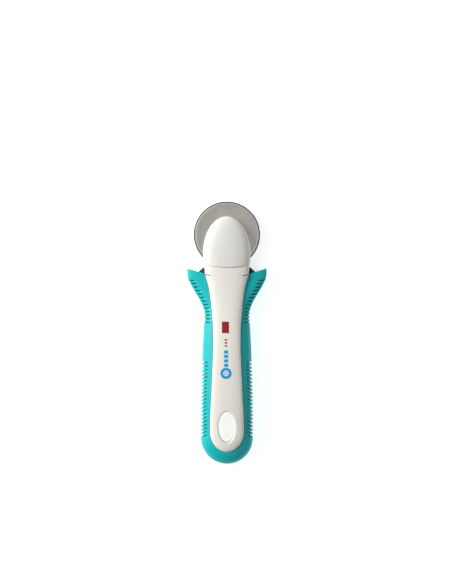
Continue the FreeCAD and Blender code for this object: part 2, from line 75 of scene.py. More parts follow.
PANEL_END_Y, PANEL_END_R = PANEL_HALF[-1]
PANEL_END_LENGTH = 14.4
CAP_Y = CAP_HALF[0][0]


def along(points, y):
    """Smooth value at y through (y, value) points that run from high y to low y."""
    if y >= points[0][0]:
        return points[0][1]
    if y <= points[-1][0]:
        return points[-1][1]
    slopes = [(b[1] - a[1]) / (b[0] - a[0]) for a, b in zip(points, points[1:])]
    tangents = [0.0]
    for before, after in zip(slopes, slopes[1:]):
        tangents.append(0.0 if before * after <= 0 else 2 * before * after / (before + after))
    tangents.append(0.0)
    for i, (a, b) in enumerate(zip(points, points[1:])):
        if y >= b[0]:
            span = b[0] - a[0]
            t = (y - a[0]) / span
            return ((2 * t**3 - 3 * t**2 + 1) * a[1] + (t**3 - 2 * t**2 + t) * span * tangents[i]
                    + (3 * t**2 - 2 * t**3) * b[1] + (t**3 - t**2) * span * tangents[i + 1])


print("grip is", round(2 * along(HANDLE_HALF, -24), 1), "mm wide over the wings,", 2 * END_R,
      "mm at the palm")

# %% [markdown]
# Three small helpers serve every moulding. A rounded section could be an arc, but real mouldings
# are squarer than that: their shoulders are full and their crowns flat, as a superellipse is.
# %% section, fade and place
POWER = 2.4


def dome(share, side, crown):
    """Height of a rounded section at a share of its half width, from the side up to the crown."""
    return side + (crown - side) * max(0.0, 1 - min(1.0, share) ** POWER) ** (1 / POWER)


def fade(value, start, end):
    """Smooth step from 0 at start to 1 at end."""
    t = min(1.0, max(0.0, (value - start) / (end - start)))
    return t * t * (3 - 2 * t)


def place(x, y, z):
    """A drawing point, in millimetres from the axle and the table, in the frame's metres."""
    return Vector((x * MM, AXLE.y + y * MM, z * MM))


print("a section is", round(dome(0.5, 0.0, 1.0), 2), "of its height halfway to the edge")

# %% [markdown]
# Each surface is a height over the plan of the tool. The grip's crown rises from the parting line,
# the panel's crown stands a little proud of it, and the cap's crown closes over the blade's hub.
# Past the last station the end is round, so the share of the width is measured from the end's
# centre instead of from the centreline. Sculpting could give such forms too, but heights that are
# computed let neighbouring pieces meet exactly.
# %% surfaces
SIDE_BAND, REAR_CROWN, PANEL_LIP = 1.0, -0.6, 0.3


def grip_share(x, y):
    if y >= END_Y:
        return abs(x) / along(HANDLE_HALF, y)
    return math.hypot(x, y - END_Y) / END_R


def grip_front(x, y):
    return dome(grip_share(x, y), SPLIT + SIDE_BAND, along(FRONT_CROWN, y))


def grip_rear(x, y):
    return max(0.0, dome(grip_share(x, y), SPLIT - SIDE_BAND, REAR_CROWN))


def panel_half(y):
    past = max(0.0, (PANEL_END_Y - y) / PANEL_END_LENGTH)
    return along(PANEL_HALF, y) * math.sqrt(max(0.0, 1 - past**2))


def panel_side(y):
    y = max(y, PANEL_END_Y)
    return grip_front(along(PANEL_HALF, y), y) + PANEL_LIP


def panel_front(x, y):
    past = max(0.0, (PANEL_END_Y - y) / PANEL_END_LENGTH)
    share = math.hypot(x / along(PANEL_HALF, y), past)
    return dome(share, panel_side(y), along(PANEL_CROWN, y))


print("panel crown", panel_front(0, -105), "mm over the table, grip beside it",
      round(grip_front(12, -105), 2))

# %% [markdown]
# Every piece is finished the same way: its bmesh becomes an object at the origin, faces smooth,
# edges sharper than a limit marked sharp so that a crease stays crisp, and it rides on the body it
# belongs to. A Bevel modifier could round every edge instead, but here the roundings that show are
# part of the surfaces already.
# %% finishing helper
CREASE_ANGLE = math.radians(38)
MERGE = 0.004 * MM


def finish_piece(bm, name, material, body, replaces=()):
    """Turn the bmesh into a named piece with its finish, and tie it to its body."""
    bmesh.ops.remove_doubles(bm, verts=bm.verts, dist=MERGE)
    bmesh.ops.recalc_face_normals(bm, faces=bm.faces)
    for face in bm.faces:
        face.smooth = True
    for edge in bm.edges:
        edge.smooth = len(edge.link_faces) == 2 and edge.calc_face_angle(0.0) < CREASE_ANGLE
    mesh = bpy.data.meshes.new(name)
    bm.to_mesh(mesh)
    bm.free()
    piece = bpy.data.objects.new(name, mesh)
    bpy.context.scene.collection.objects.link(piece)
    mesh.materials.append(material)
    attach(piece, body)
    if replaces:
        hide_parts(*replaces)
    print(name, "faces", len(mesh.polygons))


print("edges over", round(math.degrees(CREASE_ANGLE)), "degrees stay crisp")

# %% [markdown]
# Most pieces start from a flat grid that is bent into shape: a function says where each vertex
# goes. A grid that closes on itself has its doubled vertices merged afterwards, so the same helper
# makes strips, rings and domes.
# %% grid helper
def shaped_grid(bm, columns, rows, where):
    """A grid of columns by rows whose vertices are moved to where(column, row)."""
    made = bmesh.ops.create_grid(bm, x_segments=columns, y_segments=rows, size=1.0)["verts"]
    for vert in made:
        column = round((vert.co.x + 1) / 2 * columns)
        row = round((vert.co.y + 1) / 2 * rows)
        vert.co = where(column, row)
    return made


print("vertices closer than", MERGE, "m are merged")

# %% [markdown]
# Materials. Moulded plastic is never one flat colour: the skin has a fine grain, the gloss wanders
# where hands have touched it, and rubbed edges turn lighter. Three effects are shared by several
# finishes, so each is a node group with named inputs: a grain for bump, a handling haze for
# roughness, and a tint for colour, which drifts and also paints shade into hollows. The same nodes
# could be copied into each material, but then a change would have to be made ten times.
# %% node helpers
FLOAT, COLOUR = "NodeSocketFloat", "NodeSocketColor"


def new_group(name, inputs, outputs):
    """A node group with its sockets, and its input and output nodes."""
    group = bpy.data.node_groups.new(name, "ShaderNodeTree")
    for label, kind, value in inputs:
        socket = group.interface.new_socket(label, in_out="INPUT", socket_type=kind)
        socket.default_value = value
    for label, kind in outputs:
        group.interface.new_socket(label, in_out="OUTPUT", socket_type=kind)
    return group, group.nodes.new("NodeGroupInput"), group.nodes.new("NodeGroupOutput")


def node(tree, kind, links=(), **values):
    """A node whose sockets are linked to outputs, or set where the source is a plain value."""
    made = tree.nodes.new(kind)
    for key, value in values.items():
        setattr(made, key, value)
    for socket, source in links:
        if hasattr(source, "is_output"):
            tree.links.new(source, made.inputs[socket])
        else:
            made.inputs[socket].default_value = source
    return made


print("groups so far", len(bpy.data.node_groups))

# %% [markdown]
# The grain of a mould is fine pits over a soft swell. Both are noise on the piece's own
# coordinates, one at a small scale and one at a large scale, and their sum is a height.
# %% moulded grain
GRAIN_SCALE = 2500.0


def grain_group():
    """Moulded grain: fine pits over a soft swell, as a height."""
    group, inp, out = new_group(
        "moulded_grain", [("Scale", FLOAT, GRAIN_SCALE), ("Pits", FLOAT, 0.6),
                          ("Swell", FLOAT, 0.4)], [("Height", FLOAT)])
    coords = node(group, "ShaderNodeTexCoord")
    fine = node(group, "ShaderNodeTexNoise",
                [("Vector", coords.outputs["Object"]), ("Scale", inp.outputs["Scale"]),
                 ("Detail", 3.0), ("Roughness", 0.6)])
    swell = node(group, "ShaderNodeTexNoise",
                 [("Vector", coords.outputs["Object"]), ("Scale", 90.0), ("Detail", 2.0)])
    pits = node(group, "ShaderNodeMath", [(0, fine.outputs["Fac"]), (1, inp.outputs["Pits"])],
                operation="MULTIPLY")
    waves = node(group, "ShaderNodeMath", [(0, swell.outputs["Fac"]), (1, inp.outputs["Swell"])],
                 operation="MULTIPLY")
    total = node(group, "ShaderNodeMath", [(0, pits.outputs[0]), (1, waves.outputs[0])],
                 operation="ADD")
    group.links.new(total.outputs[0], out.inputs["Height"])
    return group


GRAIN = grain_group()
print("group", GRAIN.name)

# %% [markdown]
# Hands leave broad smears and small dull spots, which show in the gloss and hardly in the colour.
# So the haze is a roughness: a base value, raised by a stretched noise and by the peaks of a
# finer one.
# %% handling haze
def haze_group():
    """Handling haze: broad smears and small dull spots that lift the roughness."""
    group, inp, out = new_group(
        "handling_haze", [("Base", FLOAT, 0.25), ("Smear", FLOAT, 0.1), ("Spots", FLOAT, 0.1)],
        [("Roughness", FLOAT)])
    coords = node(group, "ShaderNodeTexCoord")
    stretch = node(group, "ShaderNodeMapping",
                   [("Vector", coords.outputs["Object"]), ("Scale", (1.0, 0.35, 1.0))])
    smear = node(group, "ShaderNodeTexNoise",
                 [("Vector", stretch.outputs[0]), ("Scale", 130.0), ("Detail", 4.0)])
    spots = node(group, "ShaderNodeTexNoise",
                 [("Vector", coords.outputs["Object"]), ("Scale", 900.0), ("Detail", 2.0)])
    dull = node(group, "ShaderNodeMapRange",
                [("Value", spots.outputs["Fac"]), ("From Min", 0.58), ("From Max", 0.7)])
    first = node(group, "ShaderNodeMath",
                 [(0, smear.outputs["Fac"]), (1, inp.outputs["Smear"]),
                  (2, inp.outputs["Base"])], operation="MULTIPLY_ADD")
    total = node(group, "ShaderNodeMath",
                 [(0, dull.outputs[0]), (1, inp.outputs["Spots"]), (2, first.outputs[0])],
                 operation="MULTIPLY_ADD")
    group.links.new(total.outputs[0], out.inputs["Roughness"])
    return group


HAZE = haze_group()
print("group", HAZE.name)

# %% [markdown]
# The tint drifts slowly between two close colours. Pointiness tells ridges from hollows: ridges are
# rubbed lighter, broken up by noise so that the wear looks uneven, and hollows such as the finger
# notches get painted shade, a darker colour. Wear could be painted by hand, but a mask follows any
# shape.
# %% tint drift and painted shade
# The second range is the pointiness where painted shade darkens hollows such as the notches.
WORN_RIDGE, HOLLOW_SHADE_RANGE = (0.52, 0.6), (0.485, 0.42)


def tint_and_shade_group():
    """Slow drift of colour, a rubbed lighter edge, and painted shade in the hollows."""
    group, inp, out = new_group(
        "tint_drift_and_shade", [("Colour", COLOUR, (0.8, 0.8, 0.8, 1)),
                       ("Drift", COLOUR, (0.75, 0.75, 0.75, 1)),
                       ("Worn", COLOUR, (0.9, 0.9, 0.9, 1)), ("Wear", FLOAT, 0.3),
                       ("Hollow", COLOUR, (0.3, 0.3, 0.3, 1))], [("Colour", COLOUR)])
    coords = node(group, "ShaderNodeTexCoord")
    slow = node(group, "ShaderNodeTexNoise",
                [("Vector", coords.outputs["Object"]), ("Scale", 45.0), ("Detail", 3.0)])
    drift = node(group, "ShaderNodeMix", [("Factor", slow.outputs["Fac"])], data_type="RGBA")
    group.links.new(inp.outputs["Colour"], drift.inputs["A"])
    group.links.new(inp.outputs["Drift"], drift.inputs["B"])
    geometry = node(group, "ShaderNodeNewGeometry")
    edges = node(group, "ShaderNodeMapRange",
                 [("Value", geometry.outputs["Pointiness"]), ("From Min", WORN_RIDGE[0]),
                  ("From Max", WORN_RIDGE[1])])
    broken = node(group, "ShaderNodeTexNoise",
                  [("Vector", coords.outputs["Object"]), ("Scale", 700.0)])
    mask = node(group, "ShaderNodeMath", [(0, edges.outputs[0]), (1, broken.outputs["Fac"])],
                operation="MULTIPLY")
    worn = node(group, "ShaderNodeMath", [(0, mask.outputs[0]), (1, inp.outputs["Wear"])],
                operation="MULTIPLY")
    final = node(group, "ShaderNodeMix", [("Factor", worn.outputs[0])], data_type="RGBA")
    group.links.new(drift.outputs["Result"], final.inputs["A"])
    group.links.new(inp.outputs["Worn"], final.inputs["B"])
    # Painted shade: the lowest pointiness, in notches and creases, mixes the colour towards a dark
    # one.
    hollows = node(group, "ShaderNodeMapRange",
                   [("Value", geometry.outputs["Pointiness"]), ("From Min", HOLLOW_SHADE_RANGE[0]),
                    ("From Max", HOLLOW_SHADE_RANGE[1]), ("To Max", 0.9)])
    shaded = node(group, "ShaderNodeMix", [("Factor", hollows.outputs[0])], data_type="RGBA")
    group.links.new(final.outputs["Result"], shaded.inputs["A"])
    group.links.new(inp.outputs["Hollow"], shaded.inputs["B"])
    group.links.new(shaded.outputs["Result"], out.inputs["Colour"])
    return group


TINT_AND_SHADE = tint_and_shade_group()
print("group", TINT_AND_SHADE.name)

# %% [markdown]
# Each finish is a Principled shader fed by the shared groups: the colour from the tint group, which
# drifts and paints shade into hollows, the roughness from the haze and the bump from the grain.
# Values that are the same all over, such as the coat, are set on the shader's own sockets.
# %% a moulded finish
def linear(red, green, blue):
    """A display colour from 0 to 255 as the linear colour that a shader wants."""
    channels = [value / 255 for value in (red, green, blue)]
    return [c / 12.92 if c < 0.04045 else ((c + 0.055) / 1.055) ** 2.4 for c in channels] + [1.0]


def new_finish(name):
    """A material, its node tree and its Principled shader."""
    finish = bpy.data.materials.new(name)
    finish.use_nodes = True
    tree = finish.node_tree
    return finish, tree, tree.nodes["Principled BSDF"]


def grouped(tree, group, **values):
    """A shared group placed in a material with its own values."""
    made = tree.nodes.new("ShaderNodeGroup")
    made.node_tree = group
    for label, value in values.items():
        made.inputs[label].default_value = value
    return made


# Painted shade in hollows is the drift colour scaled to this share.
HOLLOW_SHADE_SHARE = 0.42
BUMP_STRENGTH, COAT_ROUGHNESS = 0.6, 0.12


def moulded(name, colour, drift, worn, wear, rough, smear, spots, pits, depth, metal=0.0, coat=0.0,
            shine=0.5):
    """A finish from its colours (0 to 255), its wear and haze, and its grain, depth in mm."""
    finish, tree, shader = new_finish(name)
    tint = grouped(tree, TINT_AND_SHADE, Colour=linear(*colour), Drift=linear(*drift), Worn=linear(*worn),
                   Wear=wear, Hollow=linear(*(channel * HOLLOW_SHADE_SHARE for channel in drift)))
    haze = grouped(tree, HAZE, Base=rough, Smear=smear, Spots=spots)
    grain = grouped(tree, GRAIN, Scale=GRAIN_SCALE, Pits=pits)
    bump = node(tree, "ShaderNodeBump",
                [("Height", grain.outputs["Height"]), ("Strength", BUMP_STRENGTH),
                 ("Distance", depth * MM)])
    tree.links.new(tint.outputs["Colour"], shader.inputs["Base Color"])
    tree.links.new(haze.outputs["Roughness"], shader.inputs["Roughness"])
    tree.links.new(bump.outputs["Normal"], shader.inputs["Normal"])
    shader.inputs["Metallic"].default_value = metal
    shader.inputs["Coat Weight"].default_value = coat
    shader.inputs["Specular IOR Level"].default_value = shine
    shader.inputs["Coat Roughness"].default_value = COAT_ROUGHNESS
    return finish


print("display white is", linear(255, 255, 255))

# %% [markdown]
# The values say how the real material behaves: the white mouldings are polished, the cap a little
# less so, the grip is a softer, duller plastic, the black slide plate is matt, and brass and plated
# steel are metals with a rubbed edge.
# %% plastics, inks and plating
SHELL_FINISH = moulded(
    "polished_white_shell", (213, 211, 203), (207, 205, 196), (230, 228, 222), wear=0.15,
    rough=0.22, smear=0.12, spots=0.08, pits=0.12, depth=0.008, coat=0.35)
CAP_FINISH = moulded(
    "satin_white_cap", (204, 202, 198), (198, 196, 192), (224, 222, 218), wear=0.15,
    rough=0.3, smear=0.14, spots=0.08, pits=0.3, depth=0.015, coat=0.15)
GRIP_FINISH = moulded(
    "turquoise_grip", (0, 164, 166), (0, 156, 160), (70, 198, 198), wear=0.3,
    rough=0.4, smear=0.16, spots=0.1, pits=0.7, depth=0.05, coat=0.05, shine=0.25)
PAD_FINISH = moulded(
    "turquoise_thumb_pad", (20, 150, 153), (16, 140, 146), (80, 195, 196), wear=0.5,
    rough=0.5, smear=0.12, spots=0.1, pits=0.9, depth=0.06)
PLATE_FINISH = moulded(
    "black_slide_plate", (30, 30, 32), (38, 37, 38), (92, 90, 88), wear=0.5,
    rough=0.42, smear=0.2, spots=0.15, pits=0.8, depth=0.04)
NYLON_FINISH = moulded(
    "milky_nylon", (226, 222, 208), (214, 208, 190), (240, 238, 230), wear=0.3,
    rough=0.4, smear=0.15, spots=0.1, pits=0.4, depth=0.03)
BRASS_FINISH = moulded(
    "turned_brass", (206, 164, 84), (182, 138, 64), (238, 210, 140), wear=0.7,
    rough=0.24, smear=0.18, spots=0.15, pits=0.3, depth=0.02, metal=1.0)
HARDWARE_FINISH = moulded(
    "zinc_plated_steel", (168, 166, 160), (148, 147, 142), (214, 213, 210), wear=0.7,
    rough=0.28, smear=0.2, spots=0.2, pits=0.4, depth=0.02, metal=1.0)
BLUE_INK = moulded(
    "blue_print_ink", (0, 138, 198), (4, 126, 190), (70, 170, 212), wear=0.3,
    rough=0.3, smear=0.15, spots=0.1, pits=0.6, depth=0.02)
RED_INK = moulded(
    "red_print_ink", (140, 12, 22), (124, 10, 20), (176, 60, 66), wear=0.3,
    rough=0.3, smear=0.15, spots=0.1, pits=0.6, depth=0.02)
print("moulded and plated finishes", len(bpy.data.materials))

# %% [markdown]
# The blade is ground steel. Its flat face carries fine rings from the grinding wheel round the
# axle, and the bevel at the rim is ground brighter. The pattern needs the distance from the axle,
# so a Mapping node moves the coordinates there and a length gives the radius, which drives
# one-dimensional noise.
# %% ground steel
BEVEL_START, BEVEL_BLUR = 21.2, 0.1
STEEL_DARK, STEEL_LIGHT, STEEL_BEVEL = (208, 207, 198), (236, 232, 222), (230, 229, 222)


def ground_blade():
    """Ground steel with rings round the axle and a brighter bevel."""
    finish, tree, shader = new_finish("ground_blade_steel")
    coords = node(tree, "ShaderNodeTexCoord")
    centred = node(tree, "ShaderNodeMapping",
                   [("Vector", coords.outputs["Object"]), ("Location", (-AXLE.x, -AXLE.y, 0.0)),
                    ("Scale", (1.0, 1.0, 0.0))])
    radius = node(tree, "ShaderNodeVectorMath", [(0, centred.outputs[0])], operation="LENGTH")
    rings = node(tree, "ShaderNodeTexNoise",
                 [("W", radius.outputs["Value"]), ("Scale", 3200.0), ("Detail", 3.0)],
                 noise_dimensions="1D")
    cloudy = node(tree, "ShaderNodeTexNoise",
                  [("Vector", coords.outputs["Object"]), ("Scale", 60.0), ("Detail", 4.0)])
    both = node(tree, "ShaderNodeMath", [(0, rings.outputs["Fac"]), (1, cloudy.outputs["Fac"])],
                operation="MULTIPLY")
    tone = node(tree, "ShaderNodeMapRange",
                [("Value", both.outputs[0]), ("From Min", 0.12), ("From Max", 0.4)])
    flat = node(tree, "ShaderNodeMix", [("Factor", tone.outputs[0])], data_type="RGBA")
    flat.inputs["A"].default_value = linear(*STEEL_DARK)
    flat.inputs["B"].default_value = linear(*STEEL_LIGHT)
    rim = node(tree, "ShaderNodeMapRange",
               [("Value", radius.outputs["Value"]), ("From Min", (BEVEL_START - BEVEL_BLUR) * MM),
                ("From Max", (BEVEL_START + BEVEL_BLUR) * MM)])
    colour = node(tree, "ShaderNodeMix", [("Factor", rim.outputs[0])], data_type="RGBA")
    tree.links.new(flat.outputs["Result"], colour.inputs["A"])
    colour.inputs["B"].default_value = linear(*STEEL_BEVEL)
    rough = node(tree, "ShaderNodeMapRange",
                 [("Value", rings.outputs["Fac"]), ("To Min", 0.24), ("To Max", 0.46)])
    bump = node(tree, "ShaderNodeBump",
                [("Height", rings.outputs["Fac"]), ("Strength", 0.5), ("Distance", 0.01 * MM)])
    tree.links.new(colour.outputs["Result"], shader.inputs["Base Color"])
    tree.links.new(rough.outputs[0], shader.inputs["Roughness"])
    tree.links.new(bump.outputs["Normal"], shader.inputs["Normal"])
    shader.inputs["Metallic"].default_value = 1.0
    return finish


BLADE_FINISH = ground_blade()
print("blade finish", BLADE_FINISH.name)

# %% [markdown]
# Pieces whose CAD shape is already right only need a finish. They could be modelled again like the
# mouldings, but the nut, the slide and the hardware gain nothing by it. The mesh's shape is left
# alone and its material list takes the new finish.
# %% finishes on the CAD pieces
KEPT = {"rear_shell": SHELL_FINISH, "nut_knob": PLATE_FINISH, "slide_button": PLATE_FINISH,
        "slide_carriage": PLATE_FINISH, "guard": PLATE_FINISH, "slide_pad": PAD_FINISH,
        "blade": BLADE_FINISH, "friction_washer": NYLON_FINISH, "blade_bush": BRASS_FINISH,
        "nut_insert": BRASS_FINISH, "axle_bolt": HARDWARE_FINISH, "flat_washer": HARDWARE_FINISH,
        "spring_washer": HARDWARE_FINISH, "slide_screw": HARDWARE_FINISH,
        "detent_spring": HARDWARE_FINISH, "case_screws": HARDWARE_FINISH}
for part_name, part_finish in KEPT.items():
    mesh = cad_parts[part_name].data
    mesh.materials.clear()
    mesh.materials.append(part_finish)
print("finished", len(KEPT), "CAD pieces")

# %% [markdown]
# The grips are the two turquoise halves that wrap the handle. Each is one U-shaped strip: it starts
# at a wing tip, runs down one side, round the end and up the other. A strip like that could be
# swept along a curve, but its section changes all the way, so a grid is bent into it instead: the
# columns are stations along the U, and the rows go once round the closed section. First come the
# plan points of a station, outer and inner, on the straight side and round the end.
# %% plan of the grip
INNER_GAP = 0.12
WING_TIP_Y, WING_SLANT, WING_BLEND_Y = -23.6, 3.9, -36.0


def side_pair(y):
    """Outer and inner plan points of the right side of the grip at y."""
    inner_y = y - WING_SLANT * (1 - fade(-y, -WING_TIP_Y, -WING_BLEND_Y))
    return (along(HANDLE_HALF, y), y), (panel_half(inner_y) + INNER_GAP, inner_y)


def end_pair(turn):
    """Outer and inner plan points round the end, turn going from 0 on the right to 1."""
    outer_angle = math.pi * turn
    first = math.asin((PANEL_END_Y - END_Y) / PANEL_END_LENGTH)
    inner_angle = first + (math.pi - 2 * first) * turn
    return ((END_R * math.cos(outer_angle), END_Y - END_R * math.sin(outer_angle)),
            ((PANEL_END_R + INNER_GAP) * math.cos(inner_angle),
             PANEL_END_Y - (PANEL_END_LENGTH + INNER_GAP) * math.sin(inner_angle)))


print("inner edge at the waist", round(side_pair(-58)[1][0], 2), "mm from the centreline")

# %% [markdown]
# The notches for the fingers on the wings and for the palm could be cut with a boolean, but four
# extra stations to each notch, the middle two pushed inward, give clean faces. A notch set is its
# count, first and last place, depth, the distance in from the edge where it starts to run out, and
# how far it reaches from there.
# %% stations of the grip
WING_NOTCHES = (13, -32.0, -61.5, 1.4, 0.9, 3.6)
PALM_NOTCHES = (22, -89.6, -143.4, 1.6, 0.0, 4.3)
NOTCH_SHOULDER, NOTCH_FLOOR = 0.66, 0.26
TIP_ROUND = 0.5
TIP_STEPS = ((0, 0), (0.07, 0.25), (0.25, 0.43), (0.5, 0.5))
PLAIN_RUNS = ((8, -24.2, 0.9), (15, -63.5, 1.7))
END_STATIONS = 40
PLAIN = (0, 0, 0, 1)


def grip_stations():
    """(outer, inner, shrink, notch depth, start, reach) down the right side and half the end."""
    marks = [(WING_TIP_Y - step, TIP_ROUND - shrink, 0, 0, 1) for step, shrink in TIP_STEPS]
    for count, first, last, depth, start, reach in (WING_NOTCHES, PALM_NOTCHES):
        for k in range(count):
            y = first + (last - first) * k / (count - 1)
            for shift, share in ((NOTCH_SHOULDER, 0), (NOTCH_FLOOR, 1), (-NOTCH_FLOOR, 1),
                                 (-NOTCH_SHOULDER, 0)):
                marks.append((y + shift, 0, depth * share, start, reach))
    for count, first, step in PLAIN_RUNS:
        marks += [(first - step * k,) + PLAIN for k in range(count)]
    stations = [side_pair(mark[0]) + mark[1:]
                for mark in sorted(marks, reverse=True) if mark[0] > END_Y]
    stations += [end_pair(0.5 * k / END_STATIONS) + PLAIN for k in range(END_STATIONS + 1)]
    return stations


RIGHT_STATIONS = grip_stations()
print("stations on one side", len(RIGHT_STATIONS))

# %% [markdown]
# One section is measured as a distance inward from the outer edge and a height. The surface points
# are bunched near the edge, where the shoulder turns down, and both the rounding of the wing tip
# and a notch move them along the inward normal of the section, so that a notch stays square to the
# surface. Notches on the wings start a little in from the edge, and those past the waist at it.
# %% section of the grip
SURFACE_ROWS = 14
LARGEST_SHARE = 0.95
ROOF_STEP, WALL_INSET, PARTING_BEVEL, INNER_BEVEL = 1.0, 3.2, 0.12, 0.25
WAIST_BLEND, START_BLEND = (44, 56), (0.3, 1.5)


def notch_depth(depth, start, reach, inward_x, outer_y):
    """Depth of a notch at a distance inward from the outer edge."""
    hollow = depth * math.sqrt(max(0.0, 1 - (max(0.0, inward_x - start) / reach) ** 2))
    if start == 0:
        return hollow
    return hollow * fade(inward_x + fade(-outer_y, *WAIST_BLEND) * start, *START_BLEND)


def section_points(station, up):
    """Closed section as (plan x, plan y, z), up = 1 for the front half or -1 for the rear."""
    (outer_x, outer_y), (inner_x, inner_y), shrink, depth, start, reach = station
    run = math.hypot(inner_x - outer_x, inner_y - outer_y)
    height = grip_front if up > 0 else grip_rear
    inner_share = min(LARGEST_SHARE, grip_share(inner_x, inner_y))
    turn = math.acos(inner_share ** (POWER / 2))
    surface = []
    for k in range(SURFACE_ROWS + 1):
        share = math.cos(turn * k / SURFACE_ROWS) ** (2 / POWER)
        t = (1 - share) / (1 - inner_share)
        x, y = outer_x + (inner_x - outer_x) * t, outer_y + (inner_y - outer_y) * t
        surface.append(Vector((run * t, height(x, y))))
    surface[0].y = SPLIT + up * SIDE_BAND
    moved = []
    for k, point in enumerate(surface):
        ahead = surface[min(k + 1, SURFACE_ROWS)] - surface[max(k - 1, 0)]
        inward = Vector((abs(ahead.y), -up * abs(ahead.x))).normalized()
        if k == 0:
            inward = Vector((1.0, 0.0))
        hollow = notch_depth(depth, start, reach, point.x, outer_y)
        moved.append(point + inward * (shrink + hollow))
    edge = moved[0].x
    roof = SPLIT + up * ROOF_STEP
    moved += [Vector((run, moved[-1].y - up * INNER_BEVEL)), Vector((run, roof)),
              Vector((WALL_INSET, roof)), Vector((WALL_INSET, SPLIT + up * shrink)),
              Vector((edge + PARTING_BEVEL, SPLIT + up * shrink)),
              Vector((edge, SPLIT + up * (shrink + PARTING_BEVEL)))]
    moved[SURFACE_ROWS].x = run - INNER_BEVEL
    along_x, along_y = (inner_x - outer_x) / run, (inner_y - outer_y) / run
    return [(outer_x + along_x * p.x, outer_y + along_y * p.x, p.y) for p in moved]


print("points in a section", len(section_points(RIGHT_STATIONS[0], 1)))

# %% [markdown]
# The left side mirrors the right one, so the sections are mirrored and the strip is made whole,
# which leaves no seam at the end. The two wing tips are open loops, and each is filled.
# %% grip halves
def build_grip(name, up, replaced):
    half = [section_points(station, up) for station in RIGHT_STATIONS]
    sections = half + [[(-x, y, z) for x, y, z in section] for section in half[-2::-1]]
    loop = len(sections[0])
    bm = bmesh.new()
    shaped_grid(bm, len(sections) - 1, loop, lambda c, r: place(*sections[c][r % loop]))
    bmesh.ops.remove_doubles(bm, verts=bm.verts, dist=MERGE)
    open_ends = [edge for edge in bm.edges if edge.is_boundary]
    bmesh.ops.holes_fill(bm, edges=open_ends, sides=0)
    finish_piece(bm, name, GRIP_FINISH, "handle", (replaced,))


build_grip("grip_front_half", 1, "front_grip")
build_grip("grip_rear_half", -1, "rear_grip")

# %% [markdown]
# The white panel is the long crowned face between the grips, with the hanging hole near its end.
# The upper part is a plain grid from the crease below the cap. The two short slits at the wings are
# rows of that grid set down, because a boolean would spoil the smooth shading round them.
# %% upper part of the panel
PANEL_COLUMNS, PANEL_ROWS = 44, 60
CREASE_MID, CREASE_RISE = -23.0, 1.7
JOIN_Y = -118.0
SLIT_SHARE, SLIT_EDGE, SLIT_FLOOR, SLIT_DEPTH, SLIT_X = 0.0705, 0.0044, 0.0030, 1.5, (11.3, 14.9)
IN_SLIT = SLIT_FLOOR * 1.01


def cross_share(column, columns):
    """Share of the half width at a column, bunched towards the edges where it turns down."""
    u = 2 * column / columns - 1
    return math.copysign(math.cos((1 - abs(u)) * math.pi / 2) ** (2 / POWER), u)


def crease_y(share):
    return CREASE_MID + CREASE_RISE * share**2


def on_panel(x, y):
    return place(x, y, panel_front(x, y))


ROW_SHARES = sorted([k / PANEL_ROWS for k in range(PANEL_ROWS + 1)]
                    + [SLIT_SHARE + shift
                       for shift in (-SLIT_EDGE, -SLIT_FLOOR, SLIT_FLOOR, SLIT_EDGE)])


def upper_panel(column, row):
    share = cross_share(column, PANEL_COLUMNS)
    y = crease_y(share) + (JOIN_Y - crease_y(share)) * ROW_SHARES[row]
    point = on_panel(panel_half(y) * share, y)
    in_row = abs(ROW_SHARES[row] - SLIT_SHARE) < IN_SLIT
    if in_row and SLIT_X[0] < abs(point.x) / MM < SLIT_X[1]:
        point.z -= SLIT_DEPTH * MM
    return point


print("rows down to the hole", len(ROW_SHARES) - 1)

# %% [markdown]
# Round the hole a plain grid would leave steps, so the lower part is polar: its columns go round
# the outline, and its rows run in from the outline to the rim, over the rounded rim and down the
# wall of the hole.
# %% lower part of the panel
HOLE_Y, RIM_HALF, HOLE_HALF, RIM_DROP = -134.7, (6.5, 11.7), (5.9, 10.8), 0.9
SIDE_STEPS, END_STEPS = 12, 36
RADIAL_ROWS, RIM_ROWS = 10, 4
INNER_SHARE = 0.55


def lower_outline():
    """Plan points round the lower part, from its upper left corner clockwise."""
    top = [(panel_half(JOIN_Y) * cross_share(c, PANEL_COLUMNS), JOIN_Y)
           for c in range(PANEL_COLUMNS + 1)]
    side = [JOIN_Y + (PANEL_END_Y - JOIN_Y) * k / SIDE_STEPS for k in range(1, SIDE_STEPS + 1)]
    end = [math.pi * k / END_STEPS for k in range(1, END_STEPS)]
    right = [(panel_half(y), y) for y in side]
    bottom = [(PANEL_END_R * math.cos(a), PANEL_END_Y - PANEL_END_LENGTH * math.sin(a))
              for a in end]
    return top + right + bottom + [(-x, y) for x, y in reversed(right)]


OUTLINE = lower_outline()


def lower_panel(column, row):
    x, y = OUTLINE[column % len(OUTLINE)]
    angle = math.atan2((y - HOLE_Y) / RIM_HALF[1], x / RIM_HALF[0])
    across, down = math.cos(angle), math.sin(angle)
    rim = (RIM_HALF[0] * across, HOLE_Y + RIM_HALF[1] * down)
    if row <= RADIAL_ROWS:
        turn = math.acos(INNER_SHARE ** (POWER / 2)) * row / RADIAL_ROWS
        t = (1 - math.cos(turn) ** (2 / POWER)) / (1 - INNER_SHARE)
        return on_panel(x + (rim[0] - x) * t, y + (rim[1] - y) * t)
    step = row - RADIAL_ROWS
    bend = min(step, RIM_ROWS) / RIM_ROWS * math.pi / 2
    half = [a + (b - a) * math.sin(bend) for a, b in zip(RIM_HALF, HOLE_HALF)]
    z = panel_front(*rim) - RIM_DROP * (1 - math.cos(bend)) if step <= RIM_ROWS else SPLIT
    return place(half[0] * across, HOLE_Y + half[1] * down, z)


print("points round the lower part", len(OUTLINE))

# %% [markdown]
# The two sheets are joined, the outer edge is dropped as a skirt, and the underside is filled and
# raised a little inside it. The real moulding is hollow; nothing shows of that once it is closed,
# so the underside is a plain ceiling.
# %% panel piece
HOLE_SKIRT, SKIRT_Z, UNDERSIDE_Z = 1.4, SPLIT + ROOF_STEP, SPLIT + 2.4
ABOVE_SPLIT = 0.5


